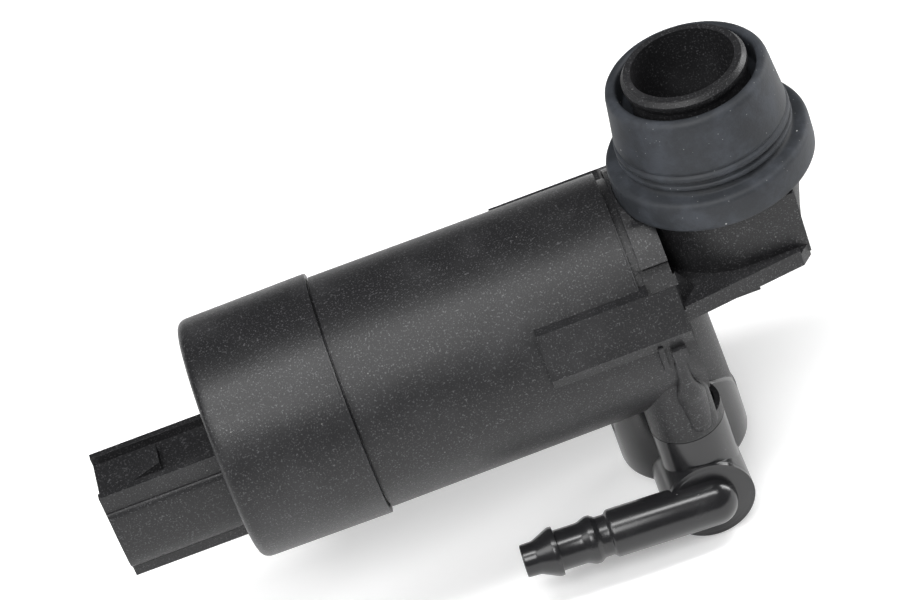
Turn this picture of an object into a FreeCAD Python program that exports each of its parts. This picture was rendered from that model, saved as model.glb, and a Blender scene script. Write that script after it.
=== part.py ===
"""Windshield washer pump: a motor in a moulded housing with a side outlet and a tank grommet.

The pump is drawn with its motor axis on X and its inlet spigot pointing up, and each piece is
then set down so that the inlet axis and the grommet's seating face meet at the origin.
"""
import FreeCAD, Part
import math
import os
import Sketcher

# name, value in millimetres or degrees, what it measures
SIZES = [
    ("inlet_reach", 56.5, "cap rim to the inlet axis, along the motor"),
    ("seat_height", 19.5, "motor axis to the grommet's seating face"),
    ("body_radius", 16.5, "housing tube at the cap"),
    ("body_end_radius", 16.3, "housing tube at the pump head"),
    ("body_length", 41.1, "housing tube from the cap rim to the groove"),
    ("body_wall", 1.9, "wall of the housing tube"),
    ("neck_length", 14.0, "thin tube that the cap slips over"),
    ("neck_radius", 15.9, "outside of the thin tube"),
    ("rim_gap", 0.3, "open seam between the cap rim and the housing shoulder"),
    ("fit_gap", 0.05, "clearance of parts that slip together"),
    ("groove_width", 1.2, "groove before the head ring"),
    ("groove_depth", 1.1, "depth of the groove"),
    ("ring_width", 3.7, "head ring along the motor"),
    ("head_wall", 1.6, "end wall of the pump chamber"),
    ("chamber_radius", 11.0, "pump chamber"),
    ("chamber_depth", 5.4, "pump chamber along the motor"),
    ("carrier_radius", 12.8, "seat of the seal carrier"),
    ("carrier_width", 2.6, "seal carrier along the motor"),
    ("shoulder_step", 0.3, "ring above the sloped shoulder"),
    ("cone_length", 3.3, "sloped shoulder behind the head ring"),
    ("cone_radius", 12.2, "small end of the sloped shoulder"),
    ("rail_start", 26.3, "guide rails start, from the cap rim"),
    ("rail_top", 9.7, "upper face of the guide rails"),
    ("rail_top_reach", 14.7, "outer upper edge of the guide rails"),
    ("rail_foot", 3.4, "lower edge of the guide rails"),
    ("rail_foot_reach", 16.9, "outer lower edge of the guide rails"),
    ("rail_root", 12.4, "inner edge of the guide rails, inside the tube"),
    ("plate_top", 6.0, "upper face of the head plate"),
    ("plate_thickness", 2.0, "head plate"),
    ("plate_root_reach", 15.7, "half width of the head plate at the ring"),
    ("plate_tip_reach", 13.1, "half width of the head plate at its end"),
    ("plate_length", 18.2, "head plate from the ring to its end"),
    ("block_reach", 11.7, "half width of the block under the grommet"),
    ("block_back", 7.9, "block from the inlet axis to its end face"),
    ("block_top", 15.0, "upper face of the block"),
    ("gusset_reach", 11.7, "inner side of the sloped gussets behind the ring"),
    ("rim_height", 0.5, "raised rim of the head plate"),
    ("rim_width", 0.9, "raised rim of the head plate"),
    ("notch_top", 11.5, "upper edge of the notches in the ring, above the motor axis"),
    ("notch_top_reach", 11.5, "upper edge of the notches, from the middle"),
    ("notch_foot", 8.9, "lower edge of the notches, above the motor axis"),
    ("notch_foot_reach", 13.7, "lower edge of the notches, from the middle"),
    ("duct_reach", 4.6, "half width of the duct below the plate"),
    ("duct_bottom", 4.4, "depth of the duct below the motor axis"),
    ("duct_bore", 3.0, "radius of the passage to the impeller"),
    ("spigot_radius", 7.95, "inlet spigot"),
    ("spigot_lip_radius", 8.45, "rounded lip of the spigot"),
    ("spigot_lip_height", 2.4, "lip of the spigot"),
    ("spigot_top", 32.4, "spigot mouth above the motor axis"),
    ("inlet_bore", 7.0, "bore of the spigot"),
    ("inlet_floor", 7.5, "floor of the inlet bore above the motor axis"),
    ("outlet_x", 41.0, "outlet boss from the cap rim"),
    ("boss_radius", 7.8, "outlet boss"),
    ("boss_bottom", 27.0, "lower end of the boss below the motor axis"),
    ("lid_plug_radius", 4.6, "plug of the lid"),
    ("riser_bore", 2.3, "passage from the chamber into the boss"),
    ("lid_radius", 9.1, "lid of the boss"),
    ("lid_thickness", 1.5, "lid of the boss"),
    ("lid_plug", 1.2, "plug of the lid, up the boss"),
    ("collar_x", 41.7, "latch collar from the cap rim"),
    ("collar_y", 10.0, "latch collar in front of the motor axis"),
    ("collar_radius", 5.2, "outside of the latch collar"),
    ("collar_bore", 4.4, "inside of the latch collar"),
    ("collar_bottom", 16.4, "lower rim of the collar below the motor axis"),
    ("collar_band", 2.1, "closed band at the lower rim"),
    ("collar_roof", 12.6, "top of the collar's hollow below the motor axis"),
    ("tongue_x", 43.4, "latch tongue from the cap rim"),
    ("tongue_y", 12.9, "latch tongue in front of the motor axis"),
    ("tongue_radius", 2.3, "latch tongue"),
    ("tongue_tip", 15.3, "tip of the tongue below the motor axis"),
    ("tongue_top", 4.6, "where the tongue has run into the ring, below the motor axis"),
    ("tab_width", 2.0, "square tab over the tongue"),
    ("tab_proud", 0.7, "tab beyond the ring"),
    ("tab_top", 1.0, "tab above the motor axis"),
    ("tab_bottom", 1.6, "tab below the motor axis"),
    ("outlet_z", 27.4, "outlet duct below the motor axis"),
    ("duct_radius", 6.2, "outlet duct"),
    ("duct_face", 15.5, "front face of the outlet duct"),
    ("joint_gap", 0.1, "clearance of the elbow round the boss"),
    ("cup_hollow", 3.2, "hollow of the elbow's cup"),
    ("cup_floor", 1.2, "floor of the cup above the duct"),
    ("spout_z", 22.4, "elbow's spigot below the motor axis"),
    ("spout_reach", 7.2, "elbow's spigot inside the boss"),
    ("spout_radius", 2.8, "elbow's spigot"),
    ("water_bore", 1.9, "water passage of the elbow"),
    ("nozzle_y", 16.0, "nozzle axis in front of the motor axis"),
    ("nozzle_z", 27.1, "nozzle root below the motor axis"),
    ("nozzle_x", 41.3, "nozzle root from the cap rim"),
    ("nozzle_radius", 3.35, "root tube of the nozzle"),
    ("nozzle_tilt", 3.5, "nozzle turned up towards the motor"),
    ("nozzle_step", 14.8, "root tube length"),
    ("nozzle_length", 27.2, "whole nozzle"),
    ("hose_radius", 2.85, "stretch that the hose grips"),
    ("barb_radius", 3.45, "crest of the barbs"),
    ("tip_radius", 2.35, "nozzle tip"),
    ("cap_radius", 17.2, "end cap at its open rim"),
    ("cap_end_radius", 17.05, "end cap at its closed end"),
    ("cap_length", 18.6, "end cap"),
    ("cap_floor", 1.8, "closed end of the cap"),
    ("cap_round", 2.0, "rounding of the closed end"),
    ("holder_radius", 13.4, "tube in the cap that holds the motor"),
    ("holder_wall", 1.2, "tube in the cap"),
    ("plug_length", 17.6, "connector shroud beyond the cap"),
    ("plug_width", 9.6, "connector shroud across"),
    ("plug_top", 0.4, "shroud's upper face above the motor axis"),
    ("plug_bottom", 13.2, "shroud's lower face below the motor axis"),
    ("plug_round", 3.0, "rounding of the shroud's lower edges"),
    ("plug_wall", 1.1, "wall of the shroud"),
    ("plug_floor", 3.6, "solid end of the socket"),
    ("key_height", 1.3, "key ribs above and below the shroud"),
    ("key_width", 1.0, "key ribs across"),
    ("key_reach", 4.3, "upper key ribs from the middle to their centre"),
    ("low_key_reach", 2.9, "lower key ribs from the middle to their centre"),
    ("latch_start", 31.4, "foot of the latch ramp, before the cap rim"),
    ("latch_end", 27.0, "tall end of the latch ramp"),
    ("latch_height", 1.5, "latch ramp"),
    ("latch_width", 4.2, "latch ramp across"),
    ("blade_width", 2.4, "terminal blade"),
    ("blade_thickness", 0.7, "terminal blade"),
    ("blade_pitch", 5.6, "terminals, middle to middle"),
    ("blade_tip", 5.8, "blade tips behind the socket mouth"),
    ("blade_root", 12.2, "inner end of the blades, before the cap rim"),
    ("grommet_radius", 13.85, "grommet flange"),
    ("grommet_flange", 4.5, "thickness of the flange"),
    ("neck_seal_radius", 11.3, "grommet neck above the flange"),
    ("ridge_radius", 11.9, "sealing ridges"),
    ("ridge_width", 0.8, "one sealing ridge"),
    ("ridge_gap", 0.55, "groove between the ridges"),
    ("barrel_radius", 11.75, "grommet barrel above the ridges"),
    ("rim_radius", 10.95, "grommet rim"),
    ("grommet_height", 11.3, "grommet above its seating face"),
    ("grommet_mouth", 9.45, "grommet mouth"),
    ("mouth_depth", 3.4, "depth of the wide mouth"),
    ("rim_round", 0.9, "rounding of the grommet rim"),
    ("shaft_radius", 1.15, "motor shaft"),
    ("shaft_rear", 9.6, "rear end of the shaft before the cap rim"),
    ("running_gap", 0.04, "clearance of the shaft in its bushes"),
    ("can_wall", 1.0, "motor can"),
    ("can_rear", 5.0, "open end of the can, before the cap rim"),
    ("bell_width", 3.0, "plastic end of the motor"),
    ("bush_radius", 3.2, "bearing bushes"),
    ("bush_width", 3.2, "bearing bushes"),
    ("magnet_wall", 2.6, "magnet segments"),
    ("magnet_start", 3.0, "magnets from the cap rim"),
    ("magnet_length", 22.0, "magnets"),
    ("core_radius", 9.4, "armature stack"),
    ("core_start", 5.5, "armature stack from the cap rim"),
    ("core_length", 16.0, "armature stack"),
    ("slot_radius", 2.1, "winding slots of the stack"),
    ("slot_reach", 6.4, "winding slots from the axis"),
    ("coil_radius", 1.95, "copper in the slots"),
    ("coil_overhang", 1.8, "copper beyond the stack"),
    ("commutator_radius", 3.1, "commutator"),
    ("commutator_start", -1.4, "commutator from the cap rim"),
    ("commutator_length", 4.6, "commutator"),
    ("brush_width", 2.6, "carbon brush"),
    ("brush_length", 5.2, "carbon brush"),
    ("brush_gap", 0.06, "brush to commutator"),
    ("seal_radius", 3.6, "shaft seal"),
    ("wheel_radius", 9.6, "impeller"),
    ("wheel_plate", 1.1, "impeller disc"),
    ("wheel_hub", 2.6, "impeller hub"),
    ("vane_height", 2.5, "impeller vanes"),
    ("vane_thickness", 0.9, "impeller vanes"),
    ("vane_count", 6, "impeller vanes"),
    ("wheel_gap", 0.6, "impeller to the seal carrier"),
    ("ring_section", 0.75, "radius of the sealing rings' section"),
    ("rib_width", 0.7, "thin rib beside the tongue"),
]

os.makedirs("parts", exist_ok=True)
doc = FreeCAD.newDocument("washer_pump")
sheet = doc.addObject("Spreadsheet::Sheet", "Sizes")


class Formula:
    """A number together with the spreadsheet formula that gives it."""

    def __init__(self, text, number):
        self.text = text
        self.number = number

    def joined(self, sign, other, number):
        return Formula(f"({self.text} {sign} {formula(other).text})", number)

    def __add__(self, other):
        return self.joined("+", other, self.number + formula(other).number)

    def __sub__(self, other):
        return self.joined("-", other, self.number - formula(other).number)

    def __radd__(self, other):
        return formula(other) + self

    def __rsub__(self, other):
        return formula(other) - self

    def __mul__(self, other):
        return self.joined("*", other, self.number * formula(other).number)

    def __truediv__(self, other):
        return self.joined("/", other, self.number / formula(other).number)

    def __neg__(self):
        return Formula(f"(0 - {self.text})", -self.number)


def formula(value):
    """Any number or formula as a formula."""
    return value if isinstance(value, Formula) else Formula(repr(float(value)), float(value))


class Sizes:
    """The driving sizes, as formulas on the spreadsheet's cells."""


size = Sizes()
for row, (alias, number, meaning) in enumerate(SIZES, start=1):
    sheet.set(f"A{row}", str(number))
    sheet.setAlias(f"A{row}", alias)
    sheet.set(f"B{row}", meaning)
    setattr(size, alias, Formula(f"Sizes.{alias}", number))
doc.recompute()

PLANES = {"X": "YZ_Plane", "Y": "XZ_Plane", "Z": "XY_Plane"}
pieces = []


def piece(label):
    """A new body, set down in the pump's own frame."""
    body = doc.addObject("PartDesign::Body", label)
    body.Label = label
    body.AllowCompound = True
    body.setExpression("Placement.Base.x", (-size.inlet_reach).text)
    body.setExpression("Placement.Base.z", (-size.seat_height).text)
    pieces.append(body)
    return body


def sketch(body, name, normal, offset=0, turn=None, origin=None):
    """An empty sketch on the body's plane across an axis; Y sketches look along +Y."""
    flat = body.newObject("Sketcher::SketchObject", name)
    plane = next(item for item in body.Origin.OriginFeatures if item.Role == PLANES[normal])
    flat.AttachmentSupport = [(plane, "")]
    flat.MapMode = "FlatFace"
    distance = -formula(offset) if normal == "Y" else formula(offset)
    flat.setExpression("AttachmentOffset.Base.z", distance.text)
    if origin:
        flat.setExpression("AttachmentOffset.Base.x", formula(origin[0]).text)
        flat.setExpression("AttachmentOffset.Base.y", formula(origin[1]).text)
    if turn:
        flat.setExpression("AttachmentOffset.Rotation.Angle", formula(turn).text)
    return flat


def pin_down(flat, edge, vertex, place):
    """Holds a sketch point at a pair of formulas."""
    for kind, value in zip(("DistanceX", "DistanceY"), place):
        value = formula(value)
        index = flat.addConstraint(Sketcher.Constraint(kind, -1, 1, edge, vertex, value.number))
        flat.setExpression(f"Constraints[{index}]", value.text)


def outline(body, name, normal, places, **where):
    """A closed outline with straight edges through the places."""
    flat = sketch(body, name, normal, **where)
    corners = [FreeCAD.Vector(formula(u).number, formula(v).number, 0) for u, v in places]
    count = len(corners)
    for index in range(count):
        flat.addGeometry(Part.LineSegment(corners[index], corners[(index + 1) % count]))
    for index in range(count):
        flat.addConstraint(Sketcher.Constraint("Coincident", index, 2, (index + 1) % count, 1))
        pin_down(flat, index, 1, places[index])
    return flat


def circle(body, name, normal, centre, radius, **where):
    """A circle as a sketch."""
    flat = sketch(body, name, normal, **where)
    radius = formula(radius)
    middle = FreeCAD.Vector(formula(centre[0]).number, formula(centre[1]).number, 0)
    flat.addGeometry(Part.Circle(middle, FreeCAD.Vector(0, 0, 1), radius.number))
    pin_down(flat, 0, 3, centre)
    index = flat.addConstraint(Sketcher.Constraint("Radius", 0, radius.number))
    flat.setExpression(f"Constraints[{index}]", radius.text)
    return flat


def raised(body, flat, length, back=False, cut=False):
    """Pads a sketch along its plane's normal, or cuts it away."""
    kind = "PartDesign::Pocket" if cut else "PartDesign::Pad"
    feature = body.newObject(kind, flat.Name + ("_cut" if cut else "_pad"))
    feature.Profile = flat
    feature.setExpression("Length", formula(length).text)
    # a pocket runs against its sketch's normal unless it is reversed
    feature.Reversed = back != cut
    feature.Refine = False
    doc.recompute()
    return feature


def turned(body, flat, axis="H_Axis", cut=False, angle=360):
    """Revolves a sketch about one of its own axes, or grooves with it."""
    kind = "PartDesign::Groove" if cut else "PartDesign::Revolution"
    feature = body.newObject(kind, flat.Name + "_turned")
    feature.Profile = flat
    feature.ReferenceAxis = (flat, [axis])
    feature.Angle = angle
    feature.Midplane = angle < 360
    feature.Refine = False
    doc.recompute()
    return feature


def rod(body, name, normal, centre, radius, start, length, cut=False):
    """A round bar along an axis, from start in the axis's positive direction."""
    flat = circle(body, name, normal, centre, radius, offset=start)
    return raised(body, flat, length, back=normal == "Y", cut=cut)


def slab(body, name, normal, low, high, start, length, cut=False):
    """A block along an axis between two opposite corners of its section."""
    places = [(low[0], low[1]), (high[0], low[1]), (high[0], high[1]), (low[0], high[1])]
    flat = outline(body, name, normal, places, offset=start)
    return raised(body, flat, length, back=normal == "Y", cut=cut)


def prism(body, name, normal, places, start, length, cut=False):
    """A straight-sided block along an axis with the outline given."""
    flat = outline(body, name, normal, places, offset=start)
    return raised(body, flat, length, back=normal == "Y", cut=cut)


def softened(body, radius, chosen, chamfer=False):
    """Rounds or bevels the edges of the body's last feature that a test picks."""
    base = body.Tip
    names = [f"Edge{number}" for number, edge in enumerate(base.Shape.Edges, start=1) if chosen(edge)]
    kind = "PartDesign::Chamfer" if chamfer else "PartDesign::Fillet"
    feature = body.newObject(kind, f"{body.Label}_soft{len(body.Group)}")
    feature.Base = (base, names)
    feature.setExpression("Size" if chamfer else "Radius", formula(radius).text)
    doc.recompute()
    return feature


def ring_edge(normal, level, radius):
    """A test for full circles across an axis at a level."""
    axis = "XYZ".index(normal)

    def chosen(edge):
        curve = edge.Curve
        if not isinstance(curve, Part.Circle) or abs(abs(curve.Axis[axis]) - 1) > 1e-6:
            return False
        return abs(curve.Center[axis] - level.number) < 0.01 and abs(curve.Radius - radius.number) < 0.01

    return chosen


# levels along the motor, from the cap rim
groove_end = size.body_length + size.groove_width
ring_end = groove_end + size.ring_width
chamber_end = ring_end - size.head_wall
chamber_start = chamber_end - size.chamber_depth
carrier_start = chamber_start - size.carrier_width
tube_bore = size.body_radius - size.body_wall


def motor_housing():
    """Housing tube, pump head, inlet spigot, guide rails, outlet boss and latch collar in one moulding."""
    body = piece("motor_housing")
    collar_centre = (size.collar_x, -size.collar_y)
    rod(body, "collar", "Z", collar_centre, size.collar_radius, -size.collar_bottom, size.collar_bottom - 6)
    slab(body, "window", "Z", (size.collar_x, -size.collar_y - size.collar_radius - 1),
         (size.collar_x + size.collar_radius + 1, -size.boss_radius + 1),
         size.collar_band - size.collar_bottom, size.collar_bottom - size.collar_band - 5, cut=True)
    rod(body, "collar_hollow", "Z", collar_centre, size.collar_bore,
        -size.collar_bottom, size.collar_bottom - size.collar_roof, cut=True)
    turned(body, outline(body, "shoulder", "Y", [
        (ring_end - 0.5, 0), (ring_end - 0.5, size.body_end_radius - size.shoulder_step),
        (ring_end + size.cone_length, size.cone_radius), (ring_end + size.cone_length, 0)]), angle=180)
    slab(body, "shoulder_gap", "Z", (ring_end - 1, -size.gusset_reach),
         (ring_end + size.cone_length + 1, size.gusset_reach), -1, size.body_radius + 2, cut=True)
    slab(body, "shoulder_foot", "Z", (ring_end - 1, -size.body_radius - 1),
         (ring_end + size.cone_length + 1, size.body_radius + 1), -1,
         size.plate_top - size.plate_thickness + 1.5, cut=True)
    turned(body, outline(body, "tube", "Y", [
        (-size.neck_length, 0), (-size.neck_length, size.neck_radius),
        (size.rim_gap, size.neck_radius), (size.rim_gap, size.body_radius),
        (size.body_length, size.body_end_radius),
        (size.body_length, size.body_end_radius - size.groove_depth),
        (groove_end, size.body_end_radius - size.groove_depth), (groove_end, size.body_end_radius),
        (ring_end, size.body_end_radius), (ring_end, 0)]))
    for side, name in ((-1, "near"), (1, "far")):
        prism(body, f"{name}_rail", "X", [
            (size.rail_root * side, size.rail_top), (size.rail_top_reach * side, size.rail_top),
            (size.rail_foot_reach * side, size.rail_foot),
            ((size.rail_foot_reach - 0.8) * side, size.rail_foot - 2.4),
            (size.rail_root * side, size.rail_foot)], size.rail_start, ring_end - size.rail_start - 0.25)
    plate_start = ring_end - 1
    plate_end = ring_end + size.plate_length
    prism(body, "head_plate", "Z", [
        (plate_start, -size.plate_root_reach), (ring_end, -size.plate_root_reach),
        (plate_end - 1.4, -size.plate_tip_reach), (plate_end, -size.plate_tip_reach + 1.6),
        (plate_end, size.plate_tip_reach - 1.6), (plate_end - 1.4, size.plate_tip_reach),
        (ring_end, size.plate_root_reach), (plate_start, size.plate_root_reach)],
        size.plate_top - size.plate_thickness, size.plate_thickness)
    for side, name in ((-1, "near"), (1, "far")):
        prism(body, f"{name}_rim", "Z", [
            (ring_end, size.plate_root_reach * side), (plate_end - 1.4, size.plate_tip_reach * side),
            (plate_end - 1.4, (size.plate_tip_reach - size.rim_width) * side),
            (ring_end, (size.plate_root_reach - size.rim_width) * side)],
            size.plate_top - 1, size.rim_height + 1)
        prism(body, f"{name}_notch", "X", [
            (size.notch_top_reach * side, size.notch_top), ((size.notch_top_reach - 1) * side, size.notch_top - 0.8),
            ((size.notch_foot_reach - 1) * side, size.notch_foot - 0.8),
            (size.notch_foot_reach * side, size.notch_foot),
            ((size.notch_foot_reach + 1.5) * side, size.notch_foot + 1.2),
            ((size.notch_top_reach + 1.5) * side, size.notch_top + 1.2)],
            groove_end - 0.3, size.ring_width + 0.6, cut=True)
    rod(body, "flange_room", "Z", (size.inlet_reach, 0), size.grommet_radius + size.joint_gap,
        size.block_top, size.grommet_flange, cut=True)
    rod(body, "tower", "Z", (size.inlet_reach, 0), size.block_reach,
        size.plate_top - 1, size.block_top - size.plate_top + 1)
    slab(body, "block", "Z", (size.inlet_reach, -size.block_reach),
         (size.inlet_reach + size.block_back, size.block_reach),
         size.plate_top - 1.2, size.block_top - size.plate_top + 1.2)
    slab(body, "duct", "X", (-size.duct_reach, -size.duct_bottom), (size.duct_reach, size.plate_top - 1.5),
         ring_end - 0.5, size.inlet_reach - ring_end + 1)
    rod(body, "spigot", "Z", (size.inlet_reach, 0), size.spigot_radius,
        size.block_top - 1, size.spigot_top - size.block_top + 1)
    lip_start = size.spigot_top - size.spigot_lip_height
    turned(body, outline(body, "lip", "Y", [
        (size.spigot_radius - 1, 0), (size.spigot_radius, 0), (size.spigot_lip_radius, 1.1),
        (size.spigot_lip_radius, size.spigot_lip_height - 0.7),
        (size.spigot_lip_radius - 0.7, size.spigot_lip_height),
        (size.spigot_radius - 1, size.spigot_lip_height)],
        origin=(size.inlet_reach, lip_start)), axis="V_Axis")
    rod(body, "boss", "Z", (size.outlet_x, 0), size.boss_radius,
        -size.boss_bottom, size.boss_bottom - size.body_end_radius + 2.5)
    rod(body, "tongue", "Z", (size.tongue_x, -size.tongue_y), size.tongue_radius,
        -size.tongue_tip, size.tongue_tip - size.tongue_top)
    slab(body, "tab", "Z", (size.tongue_x - size.tab_width / 2, -size.body_end_radius - size.tab_proud),
         (size.tongue_x + size.tab_width / 2, -size.body_end_radius + 1.6), -size.tab_bottom,
         size.tab_top + size.tab_bottom)
    slab(body, "thin_rib", "Z", (size.outlet_x - 0.2, -size.body_end_radius - 0.6),
         (size.outlet_x - 0.2 + size.rib_width, -size.body_end_radius + 1.6), -2.2, 4.4)
    turned(body, outline(body, "bore", "Y", [
        (-size.neck_length - 1, 0), (-size.neck_length - 1, tube_bore), (carrier_start, tube_bore),
        (carrier_start, size.carrier_radius), (chamber_start, size.carrier_radius),
        (chamber_start, size.chamber_radius), (chamber_end, size.chamber_radius), (chamber_end, 0)]),
        cut=True)
    rod(body, "inlet", "Z", (size.inlet_reach, 0), size.inlet_bore,
        size.inlet_floor, size.spigot_top - size.inlet_floor + 1, cut=True)
    rod(body, "eye", "X", (0, 0), size.duct_bore, chamber_end - 1,
        size.inlet_reach - chamber_end + 1, cut=True)
    rod(body, "drop", "Z", (size.inlet_reach - size.duct_bore, 0), size.duct_bore, 0,
        size.inlet_floor + 1, cut=True)
    rod(body, "riser", "Z", (size.outlet_x, 0), size.riser_bore,
        -size.boss_bottom, size.boss_bottom - size.chamber_radius + 1.5, cut=True)
    rod(body, "lid_seat", "Z", (size.outlet_x, 0), size.lid_plug_radius + size.fit_gap,
        -size.boss_bottom, size.lid_plug, cut=True)
    rod(body, "outlet_seat", "Y", (size.outlet_x, -size.spout_z), size.spout_radius + size.fit_gap,
        -size.boss_radius - 1, size.boss_radius + 1, cut=True)
    return body


def end_cap():
    """Cap over the motor end, with the connector shroud moulded on it."""
    body = piece("end_cap")
    inside = size.neck_radius + size.fit_gap
    floor = size.cap_floor - size.cap_length
    holder_end = -size.can_rear - size.bell_width - size.fit_gap
    turned(body, outline(body, "shell", "Y", [
        (-size.cap_length, 0), (-size.cap_length, size.cap_end_radius - size.cap_round),
        (size.cap_round * 0.3 - size.cap_length, size.cap_end_radius - size.cap_round * 0.3),
        (size.cap_round - size.cap_length, size.cap_end_radius), (0, size.cap_radius), (0, inside),
        (floor, inside), (floor, size.holder_radius), (holder_end, size.holder_radius),
        (holder_end, size.holder_radius - size.holder_wall),
        (floor, size.holder_radius - size.holder_wall), (floor, 0)]))
    mouth = -size.cap_length - size.plug_length
    half = size.plug_width / 2
    slab(body, "shroud", "X", (-half, -size.plug_bottom), (half, size.plug_top),
         mouth, size.plug_length + 0.5)
    softened(body, size.plug_round, lambda edge: abs(edge.tangentAt(edge.FirstParameter).x) > 0.999
             and edge.Length > size.plug_length.number - 1
             and edge.CenterOfMass.x < -size.cap_length.number - 2
             and edge.CenterOfMass.z < -size.plug_bottom.number + 1)
    for side in (-1, 1):
        for name, reach, low in (("upper", size.key_reach, size.plug_top - 0.4),
                                 ("lower", size.low_key_reach, -size.plug_bottom - size.key_height)):
            middle = reach * side
            word = "near" if side < 0 else "far"
            slab(body, f"{name}_key_{word}", "X", (middle - size.key_width / 2, low),
                 (middle + size.key_width / 2, low + size.key_height + 0.4), mouth, size.plug_length + 0.5)
    prism(body, "latch_ramp", "Y", [
        (-size.latch_start, size.plug_top - 0.3), (-size.latch_start, size.plug_top),
        (-size.latch_end, size.plug_top + size.latch_height), (-size.latch_end, size.plug_top - 0.3)],
        -size.latch_width / 2, size.latch_width)
    slab(body, "socket", "X", (size.plug_wall - half, size.plug_wall - size.plug_bottom),
         (half - size.plug_wall, size.plug_top - size.plug_wall),
         mouth, size.plug_length - size.plug_floor, cut=True)
    for level, name in blade_levels():
        slab(body, f"{name}_slot", "X", (-size.blade_width / 2, level - size.blade_thickness / 2),
             (size.blade_width / 2, level + size.blade_thickness / 2),
             mouth + size.plug_floor, size.plug_length, cut=True)
    return body


def blade_levels():
    """The heights of the two terminal blades, with their names."""
    middle = (size.plug_top - size.plug_bottom) / 2
    return ((middle + size.blade_pitch / 2, "upper"), (middle - size.blade_pitch / 2, "lower"))


def terminals():
    """Two brass blades through the cap's floor."""
    start = size.blade_tip - size.cap_length - size.plug_length
    for level, name in blade_levels():
        body = piece(f"{name}_terminal")
        slab(body, "blade", "X", (-size.blade_width / 2, level - size.blade_thickness / 2),
             (size.blade_width / 2, level + size.blade_thickness / 2), start, -start - size.blade_root)


def inlet_grommet():
    """Rubber grommet that seals the spigot in the tank's wall."""
    body = piece("inlet_grommet")
    inside = size.spigot_radius + size.fit_gap
    ridge = size.ridge_width
    gap = size.ridge_gap
    outer = [(size.grommet_radius - 0.5, -size.grommet_flange), (size.grommet_radius, 0.5 - size.grommet_flange),
             (size.grommet_radius, -0.5), (size.grommet_radius - 0.5, 0), (size.neck_seal_radius, 0)]
    level = ridge
    for _ in range(2):
        outer += [(size.neck_seal_radius, level), (size.ridge_radius, level + 0.2),
                  (size.ridge_radius, level + ridge - 0.2), (size.neck_seal_radius, level + ridge)]
        level = level + ridge + gap
    body_start = level
    outer += [(size.neck_seal_radius, body_start), (size.barrel_radius, body_start + 0.4),
              (size.rim_radius, size.grommet_height - size.rim_round),
              (size.rim_radius - size.rim_round * 0.3, size.grommet_height - size.rim_round * 0.3),
              (size.rim_radius - size.rim_round, size.grommet_height)]
    inner = [(size.grommet_mouth + 0.3, size.grommet_height), (size.grommet_mouth, size.grommet_height - 0.4),
             (size.grommet_mouth, size.grommet_height - size.mouth_depth),
             (inside, size.grommet_height - size.mouth_depth - 0.8), (inside, -size.grommet_flange)]
    turned(body, outline(body, "section", "Y", outer + inner, origin=(size.inlet_reach, size.seat_height)),
           axis="V_Axis")


def outlet_elbow():
    """Glossy outlet elbow: cup, duct and barbed hose nozzle."""
    body = piece("outlet_elbow")
    cup_top = -size.collar_bottom - size.joint_gap
    rod(body, "cup", "Z", (size.collar_x, -size.collar_y), size.collar_radius,
        -size.outlet_z, cup_top + size.outlet_z)
    rod(body, "duct", "Y", (size.outlet_x, -size.outlet_z), size.duct_radius, -size.duct_face, size.duct_face - 1)
    rod(body, "boss_room", "Z", (size.outlet_x, 0), size.boss_radius + size.joint_gap,
        -size.boss_bottom - size.joint_gap, size.boss_bottom, cut=True)
    rod(body, "lid_room", "Z", (size.outlet_x, 0), size.lid_radius + size.joint_gap,
        -size.boss_bottom - size.lid_thickness - size.joint_gap, size.lid_thickness + size.joint_gap * 2,
        cut=True)
    rod(body, "cup_hollow", "Z", (size.collar_x, -size.collar_y), size.cup_hollow,
        size.duct_radius + size.cup_floor - size.outlet_z, size.outlet_z, cut=True)
    rod(body, "spout", "Y", (size.outlet_x, -size.spout_z), size.spout_radius,
        -size.boss_radius - 1.2, size.spout_reach + 1.2)
    nozzle = outline(body, "nozzle", "Y", [
        *[(size.nozzle_radius * round(math.cos(math.radians(step * 15)), 5),
           size.nozzle_radius * round(math.sin(math.radians(step * 15)), 5)) for step in range(7)],
        (0.6 - size.nozzle_step, size.nozzle_radius), (-size.nozzle_step, size.hose_radius),
        (-size.nozzle_step - 1.5, size.hose_radius),
        (-size.nozzle_step - 2.2, size.barb_radius - 0.1), (-size.nozzle_step - 2.8, size.barb_radius - 0.1),
        (-size.nozzle_step - 4.0, size.hose_radius), (4.9 - size.nozzle_length, size.hose_radius),
        (4.9 - size.nozzle_length, size.barb_radius), (4.3 - size.nozzle_length, size.barb_radius),
        (1.9 - size.nozzle_length, size.tip_radius), (-size.nozzle_length, size.tip_radius - 0.1),
        (-size.nozzle_length, 0)],
        offset=-size.nozzle_y, origin=(size.nozzle_x, -size.nozzle_z), turn=-size.nozzle_tilt)
    turned(body, nozzle)
    water = outline(body, "water", "Y", [
        (-size.nozzle_length - 1, 0), (-size.nozzle_length - 1, size.water_bore),
        (0, size.water_bore), (0, 0)],
        offset=-size.nozzle_y, origin=(size.nozzle_x, -size.nozzle_z), turn=-size.nozzle_tilt)
    turned(body, water, cut=True)
    rod(body, "water_back", "Y", (size.outlet_x, -size.spout_z - 3), size.water_bore,
        -size.nozzle_y + 1.4, size.nozzle_y - size.boss_radius - 3.2, cut=True)
    rod(body, "water_spout", "Y", (size.outlet_x, -size.spout_z), size.water_bore,
        -size.boss_radius - 4, size.spout_reach + 5, cut=True)


def boss_lid():
    """Welded lid that closes the foot of the outlet boss."""
    body = piece("boss_lid")
    rod(body, "disc", "Z", (size.outlet_x, 0), size.lid_radius,
        -size.boss_bottom - size.lid_thickness, size.lid_thickness)
    rod(body, "plug", "Z", (size.outlet_x, 0), size.lid_plug_radius, -size.boss_bottom - 0.5, size.lid_plug + 0.5)


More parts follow.
